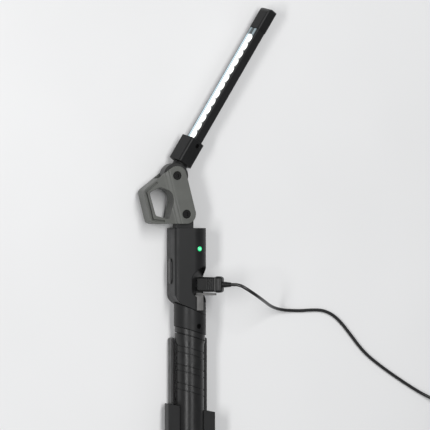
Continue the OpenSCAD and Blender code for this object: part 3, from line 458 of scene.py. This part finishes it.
def dress(node, place, edge, seams=()):
    """The node's own shape with rounded edges, fine ones on its seams, which are planes (axis, place)."""
    bm = bmesh.new()
    bm.from_mesh(nodes[node].data)
    bmesh.ops.remove_doubles(bm, verts=bm.verts, dist=WELD)
    bmesh.ops.dissolve_limit(bm, angle_limit=FLAT, verts=bm.verts, edges=bm.edges)
    bm.transform(place.inverted())
    soften(bm, seams, False, edge)
    soften(bm, seams, True, SEAM_EDGE)
    return stand_in(node + "_dressed", bm, place, node)


def smooth_round(piece):
    """Shades what is round about the piece's own Y as a true cylinder, whatever its triangles."""
    mesh = piece.data
    piece.modifiers.clear()
    normals = [Vector(corner.vector) for corner in mesh.corner_normals]
    for face in mesh.polygons:
        out = [Vector((mesh.vertices[v].co.x, 0, mesh.vertices[v].co.z)) for v in face.vertices]
        faces_out = sum(out, Vector()).normalized().dot(face.normal)
        if abs(faces_out) > NEARLY_ROUND:
            for corner, v in zip(face.loop_indices, out):
                normals[corner] = v.normalized() * (1 if faces_out > 0 else -1)
    mesh.normals_split_custom_set(normals)


def circle(r):
    angles = [2 * pi * i / ROUND_STEPS for i in range(ROUND_STEPS)]
    return [(r * cos(angle), r * sin(angle)) for angle in angles]


def round_rect(w, d, r, inset=0.0):
    """Rectangle with round corners, drawn in on all sides by the inset."""
    r = max(r - inset, LEAST_R)
    half_w, half_d = w / 2 - inset - r, d / 2 - inset - r
    points = []
    for quarter, (side_x, side_y) in enumerate(((1, 1), (-1, 1), (-1, -1), (1, -1))):
        for i in range(CORNER_STEPS + 1):
            angle = (quarter + i / CORNER_STEPS) * pi / 2
            points.append((side_x * half_w + r * cos(angle), side_y * half_d + r * sin(angle)))
    return points


def hexagon(r):
    """Hexagon of corner radius r, with as many points as a circle."""
    apothem = r * cos(pi / 6)
    angles = [2 * pi * i / ROUND_STEPS for i in range(ROUND_STEPS)]
    reach = [apothem / cos(angle % (pi / 3) - pi / 6) for angle in angles]
    return [(away * x, away * y) for away, (x, y) in zip(reach, circle(1))]


def cross(arm, half):
    """Cross of two bars, with as many points as a circle."""
    tiny = 1e-6
    points = []
    for x, y in circle(1):
        ax, ay = max(abs(x), tiny), max(abs(y), tiny)
        reach = max(min(arm / ax, half / ay), min(arm / ay, half / ax))
        points.append((reach * x, reach * y))
    return points


def loft(bm, sections, place=Matrix()):
    """Skin over sections, each an outline and its height, closed at both ends."""
    rows = [[bm.verts.new(place @ Vector((x, y, z))) for x, y in outline] for outline, z in sections]
    count = len(rows[0])
    for low, high in zip(rows, rows[1:]):
        for i in range(count):
            bm.faces.new((low[i], low[(i + 1) % count], high[(i + 1) % count], high[i]))
    bm.faces.new(rows[0][::-1])
    bm.faces.new(rows[-1])


def lofted(name, sections, place, node):
    """A lofted piece that stands for a node."""
    bm = bmesh.new()
    loft(bm, sections)
    return stand_in(name, bm, place, node)


def rect_sections(w, d, r, profile):
    """Sections of a rounded bar of w by d, from a profile of insets and heights, all in millimetres."""
    return [(round_rect(w * MM, d * MM, r * MM, inset * MM), z * MM) for inset, z in profile]


def screws(node, place, seats, head_r, head_t, shank_r, shank_len, recess, depth):
    """The node's screws, each with a turned head, a driver recess and its shank below the seat."""
    bm = bmesh.new()
    edge = SCREW_EDGE
    drawn_in = [(RECESS_TAPER * x, RECESS_TAPER * y) for x, y in recess]
    sections = [
        (circle(shank_r - edge), -shank_len), (circle(shank_r), edge - shank_len), (circle(shank_r), 0),
        (circle(head_r), 0), (circle(head_r), head_t - edge), (circle(head_r - edge), head_t),
        (recess, head_t), (drawn_in, head_t - depth)]
    for seat in seats:
        loft(bm, sections, seat)
    stand_in(node + "_turned", bm, place, node)


def ribbed(start, end, wide, thin):
    """Sections of a tapered sleeve with ribs round it."""
    sections = [(circle(wide - RIB_EDGE), start)]
    for k in range(RIBS):
        for share, dip in ((0.06, 0), (0.56, 0), (0.66, 1), (0.96, 1)):
            t = (k + share) / RIBS
            r = wide + (thin - wide) * t - dip * RIB_DEPTH
            sections.append((circle(r), start + (end - start) * t))
    return sections + [(circle(thin), end)]


# The plane z = 0 of a frame, where a shell's two halves meet
MID = (2, 0)
for node in ("head_front_shell", "head_back_shell"):
    dress(node, HANDLE, 0.8 * MM, seams=[MID])
dress("hinge_tongue", HANDLE, 0.6 * MM)
smooth_round(dress("neck_ring", HANDLE, 0.45 * MM))
smooth_round(dress("grip_sleeve", HANDLE, 0.25 * MM))
for node in ("left_side_rail", "right_side_rail"):
    dress(node, HANDLE, 0.9 * MM)
dress("base_housing", HANDLE, 1.0 * MM)
dress("base_end_cap", HANDLE, 0.8 * MM)
dress("flap_anchor", PORT, 0.25 * MM)
dress("port_flap", PORT, 0.6 * MM)
for node in ("bracket_front", "bracket_back"):
    dress(node, BRACKET, 0.7 * MM, seams=[MID])
dress("pivot_nuts", BRACKET, 0.2 * MM)
dress("wand_knuckle", WAND, 0.8 * MM)
dress("swivel_washer", WAND, 0.15 * MM)
dress("wand_collar", WAND, 0.6 * MM)
dress("wand_housing", WAND, 0.3 * MM)
dress("tip_cap", WAND, 1.0 * MM)
dress("wand_lens", WAND, 0.4 * MM)
dress("reflector_tray", WAND, 0.15 * MM)
dress("led_chips", WAND, 0.2 * MM)
dress("status_lens", LIGHT, 0.25 * MM)
dress("cable_tie", HANDLE, 0.45 * MM)

SIDES = (-1, 1)
CROSS = cross(1.5 * MM, 0.38 * MM)
SMALL_CROSS = cross(1.35 * MM, 0.32 * MM)
HEX_SOCKET = hexagon(2 * MM)
NECK_SEATS = [turned((0, 0, 13.9 * MM))]
HOUSING_SEATS = [turned((x * MM, y * MM, 5.5 * MM - AXIS_Z), (180, "X"))
                 for x, y in ((-13.5, -63), (9.5, -14))]
BASE_SEATS = [turned((side * 18.25 * MM, -245.5 * MM, 0), (90, "X")) for side in SIDES]
COLLAR_SEATS = [turned((side * 8 * MM, 36.6 * MM, 0), (side * 90, "Y")) for side in SIDES]
TIP_SEATS = [turned((0, 173.4 * MM, -6.25 * MM), (180, "X"))]
PIVOT_SEATS = [turned((0, y * MM, 10.5 * MM)) for y in (0, 39.4)]

screws("neck_screw", NECK_SCREW, NECK_SEATS, head_r=2.4 * MM, head_t=1.5 * MM,
       shank_r=1.4 * MM, shank_len=2 * MM, recess=CROSS, depth=1 * MM)
screws("housing_screws", HANDLE, HOUSING_SEATS, head_r=2.4 * MM, head_t=1.5 * MM,
       shank_r=1.4 * MM, shank_len=18 * MM, recess=CROSS, depth=1 * MM)
screws("base_screws", HANDLE, BASE_SEATS, head_r=2.4 * MM, head_t=1.3 * MM,
       shank_r=1.25 * MM, shank_len=10.5 * MM, recess=CROSS, depth=0.9 * MM)
screws("collar_screws", WAND, COLLAR_SEATS, head_r=2.2 * MM, head_t=0.8 * MM,
       shank_r=1.1 * MM, shank_len=2.6 * MM, recess=SMALL_CROSS, depth=0.6 * MM)
screws("tip_screw", WAND, TIP_SEATS, head_r=2.2 * MM, head_t=1 * MM,
       shank_r=1.1 * MM, shank_len=6.4 * MM, recess=SMALL_CROSS, depth=0.7 * MM)
screws("pivot_bolts", BRACKET, PIVOT_SEATS, head_r=4.1 * MM, head_t=1.5 * MM,
       shank_r=3 * MM, shank_len=22.7 * MM, recess=HEX_SOCKET, depth=1.1 * MM)


def make_button():
    """Softly domed button with the lip that holds it in, and the stem that reaches the switch."""
    cap = [(0, -2.6), (0, 0.3), (0.15, 0.75), (0.55, 1.1), (1.3, 1.35), (2.4, 1.5), (3.6, 1.58)]
    lip = [(0, -3.6), (0, -2.61)]
    stem = [(circle(1.8 * MM), z * MM) for z in (-8.9, -3.61)]
    bm = bmesh.new()
    loft(bm, rect_sections(10, 26, 5, cap))
    loft(bm, rect_sections(12, 28, 6, lip))
    loft(bm, stem, turned((-3.6 * MM, 0, 0)))
    add_piece("power_button_domed", bm, BUTTON, "button", slot_of["power_button"], ("power_button",))


make_button()


# Charging lead

CORD_D = 3.3 * MM
RELIEF_END = 44 * MM
STRAIGHT_OUT = 6 * MM
EXIT = PORT @ Vector((0, 0, RELIEF_END))
OUT = PORT.to_3x3() @ Vector((0, 0, STRAIGHT_OUT))
# Points of the visible run, in millimetres from the floor under the head's top
ROUTE = [
    (42.5, -57.2, 50.7), (47.5, -60.2, 52.4), (53, -63.6, 52.2), (58, -66.4, 49.8),
    (62.5, -68.7, 46), (67, -70.8, 40.8), (71.5, -72.8, 35), (76, -74.8, 29),
    (80.5, -76.8, 23), (85.5, -78.8, 17.2), (91, -80.6, 11.8), (97.5, -82.2, 7.2),
    (105, -83.4, 4), (113.5, -84, 2.2), (123, -84.2, 1.8), (133, -83.8, 1.8),
    (143, -84, 1.8), (151, -86, 1.8), (159, -90.4, 1.8), (167, -97.8, 1.8),
    (176, -108.6, 1.8), (186, -121, 1.8), (195, -130.4, 1.8), (206, -139.2, 1.8),
    (218, -147.8, 1.8), (231, -156.4, 1.8), (244, -164.6, 1.8), (256, -171.6, 2.6),
    (267, -177, 5), (277, -180.4, 7.2), (285.6, -182, 8), (292.6, -182, 8)]
ROUTE_STEPS = 4
FLOOR_UNDER_HEAD = HEAD_TOP - Vector((0, 0, AXIS_Z))
COIL_R = 25 * MM
COIL_PITCH = 4.4 * MM
COIL_TURNS = 2.5
COIL_RISE = 4.2 * MM
COIL_STEPS = 32
COIL_TAIL = 18 * MM


def smooth_through(points, steps):
    """Points on a smooth curve through the given ones."""
    found = []
    last = len(points) - 1
    for i in range(last):
        a, b, c, d = (points[min(max(k, 0), last)] for k in range(i - 1, i + 3))
        for step in range(steps):
            t = step / steps
            bend = (2 * a - 5 * b + 4 * c - d) * t * t + (3 * b - a - 3 * c + d) * t ** 3
            found.append(0.5 * (2 * b + (c - a) * t + bend))
    return found + [points[-1]]


def coil_place(t, centre):
    """Place after t turns: in along the upper layer, down, and out along the lower one."""
    inner = COIL_R - COIL_PITCH * COIL_TURNS
    back = COIL_TURNS + 0.5
    r = COIL_R - COIL_PITCH * t if t < COIL_TURNS else inner + COIL_PITCH * max(t - back, 0)
    drop = COIL_RISE * min(max((t - COIL_TURNS) * 2, 0), 1)
    angle = pi / 2 - 2 * pi * t
    return centre + Vector((r * cos(angle), r * sin(angle), -drop))


def cord_points():
    route = [EXIT + OUT] + [FLOOR_UNDER_HEAD + Vector(p) * MM for p in ROUTE]
    run = [EXIT] + smooth_through(route[:-1], ROUTE_STEPS) + [route[-1]]
    centre = route[-1] + Vector((CORD_D, -COIL_R, 0))
    total = int(2 * COIL_TURNS * COIL_STEPS)
    coil = [coil_place(i / COIL_STEPS, centre) for i in range(total + 1)]
    tail = [coil[-1] + Vector((COIL_TAIL * share, 0, 0)) for share in (0.5, 1)]
    return run + coil + tail


RELIEF_WIDE = 0.95 * CORD_D
RELIEF_THIN = 0.68 * CORD_D
PLUG_START = 9
PLUG_END = 28.6
BOOT_END = 35.4
GRIP_LINES = 4
GRIP_LINE_PITCH = 1.9


def make_plug():
    """Plug with shallow grip lines, a pale ring at the joint that is a painted highlight on the boot's edge, a
    rounded boot and a ribbed strain relief.
    """
    body = [(0.5, PLUG_START), (0, PLUG_START + 0.6)]
    for k in range(GRIP_LINES):
        line = PLUG_END - (8.2 - GRIP_LINE_PITCH * k)
        body += [(0, line - 0.5), (0.3, line - 0.3), (0.3, line + 0.3), (0, line + 0.5)]
    body += [(0, PLUG_END - 0.4), (0.4, PLUG_END)]
    boot = [(0.6, PLUG_END), (0.1, PLUG_END + 0.5), (0, PLUG_END + 1.2), (0.1, BOOT_END - 2.4),
            (0.6, BOOT_END - 1), (1.2, BOOT_END - 0.3), (1.9, BOOT_END)]
    # Pale ring at the joint of plug and boot: a painted highlight on the boot's edge.
    joint = [(0.3, PLUG_END - 0.35), (0, PLUG_END - 0.2), (0, PLUG_END + 0.2), (0.3, PLUG_END + 0.35)]
    sleeve = ribbed(BOOT_END * MM, RELIEF_END, RELIEF_WIDE, RELIEF_THIN)
    plug = lofted("charge_plug_body", rect_sections(8.5, 14.6, 2, body), PORT, "charge_plug")
    rear = lofted("plug_boot_body", rect_sections(9.2, 16.4, 3, boot), PORT, "plug_boot")
    relief = lofted("strain_relief_ribbed", sleeve, PORT, "strain_relief")
    bm = bmesh.new()
    loft(bm, rect_sections(9, 15.5, 2.4, joint))
    return plug, rear, relief, add_piece("painted_joint_highlight", bm, PORT, "handle", "rubber_grey")


def make_far_plug(start):
    """Plug at the far end: ribbed sleeve, rounded grip, and an open metal shell round a tongue."""
    place = turned(start, (90, "Y"))
    grip = [(1.4, 8), (0.4, 8.5), (0, 9.4), (0.1, 12), (0.45, 15), (0.45, 22), (0.1, 25),
            (0, 29.2), (0.5, 30)]
    shell = [(0, 30), (0, 47.7), (0.12, 48), (0.35, 48), (0.42, 47.6), (0.42, 38)]
    tongue = [(0, 38.05), (0, 46.2), (0.3, 46.6)]
    bm = bmesh.new()
    loft(bm, ribbed(8 * MM, 0, RELIEF_WIDE, RELIEF_THIN)[::-1])
    loft(bm, rect_sections(7.2, 16, 1.8, grip))
    body = add_piece("far_plug_body", bm, place, "handle", slot_of["far_plug"], ("far_plug",))
    contact = lofted("far_contact_shell", rect_sections(4.5, 12, 0.5, shell), place, "far_contact")
    bm = bmesh.new()
    loft(bm, rect_sections(1.7, 10.6, 0.3, tongue), turned((0.85 * MM, 0, 0)))
    return body, contact, add_piece("far_plug_tongue", bm, place, "handle", "plug_plastic")


def make_cord():
    points = cord_points()
    curve = bpy.data.curves.new("charging_lead", "CURVE")
    curve.dimensions = "3D"
    curve.bevel_depth = CORD_D / 2
    curve.bevel_resolution = 5
    curve.use_fill_caps = True
    spline = curve.splines.new("POLY")
    spline.points.add(len(points) - 1)
    for place, point in zip(spline.points, points):
        place.co = (*point, 1)
    spline.use_smooth = True
    curve.materials.append(LOOKS["cord_jacket"])
    lead = bpy.data.objects.new("charging_lead", curve)
    bpy.context.scene.collection.objects.link(lead)
    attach(lead, "handle")
    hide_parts("cable_run", "cable_coil")
    on_it = [nodes["plug_contact"], bpy.data.objects["cable_tie_dressed"],
             *make_plug(), *make_far_plug(points[-1])]


make_cord()


# Floor, lights and camera

FLOOR_HALF = 6.0
FLOOR_TONES = (0.78, 0.82)
WORLD_TINT = (0.95, 0.97, 1.0, 1)
WORLD_LIGHT = 0.26
PHOTO_WIDTH = 430 * MM
CAMERA_SIDE = 18
CAMERA_AWAY = 2.6
AIM = HEAD_TOP + Vector((26.3 * MM, 13 * MM, 0))


def make_floor():
    mesh = bpy.data.meshes.new("floor")
    corners = [(x * FLOOR_HALF, y * FLOOR_HALF, 0) for x, y in ((-1, -1), (1, -1), (1, 1), (-1, 1))]
    mesh.from_pydata(corners, [], [(0, 1, 2, 3)])
    paint = Paint("floor_paper", Roughness=0.8)
    low, high = FLOOR_TONES
    tone = paint.shades(paint.noise(0.3, 3), (0.3, grey(low)), (0.7, grey(high)))
    paint.connect(paint.shader, {"Base Color": tone})
    mesh.materials.append(paint.material)
    floor = bpy.data.objects.new("floor", mesh)
    bpy.context.scene.collection.objects.link(floor)


def make_lamp(name, place, size, power):
    """Rectangular lamp that faces the middle of the tool."""
    lamp = bpy.data.lights.new(name, "AREA")
    lamp.shape = "RECTANGLE"
    lamp.size, lamp.size_y = size
    lamp.energy = power
    holder = bpy.data.objects.new(name, lamp)
    holder.location = place
    holder.rotation_euler = (Vector() - Vector(place)).to_track_quat("-Z", "Y").to_euler()
    bpy.context.scene.collection.objects.link(holder)


def make_camera():
    data = bpy.data.cameras.new("camera")
    data.sensor_width = 36
    data.lens = data.sensor_width * CAMERA_AWAY / PHOTO_WIDTH
    data.clip_end = 100
    camera = bpy.data.objects.new("camera", data)
    camera.matrix_world = turned(AIM, (-CAMERA_SIDE, "Y")) @ Matrix.Translation((0, 0, CAMERA_AWAY))
    bpy.context.scene.collection.objects.link(camera)
    bpy.context.scene.camera = camera


def make_world():
    world = bpy.data.worlds.new("studio")
    world.use_nodes = True
    background = world.node_tree.nodes["Background"]
    background.inputs["Color"].default_value = WORLD_TINT
    background.inputs["Strength"].default_value = WORLD_LIGHT
    bpy.context.scene.world = world


make_floor()
make_world()
make_lamp("key_lamp", place=(0.06, 0.5, 1.85), size=(0.3, 1.6), power=21.5)
make_lamp("rim_lamp", place=(-1.25, 0.0, 1.3), size=(1.0, 0.25), power=12.5)
make_camera()
bpy.context.scene.view_settings.view_transform = "Standard"
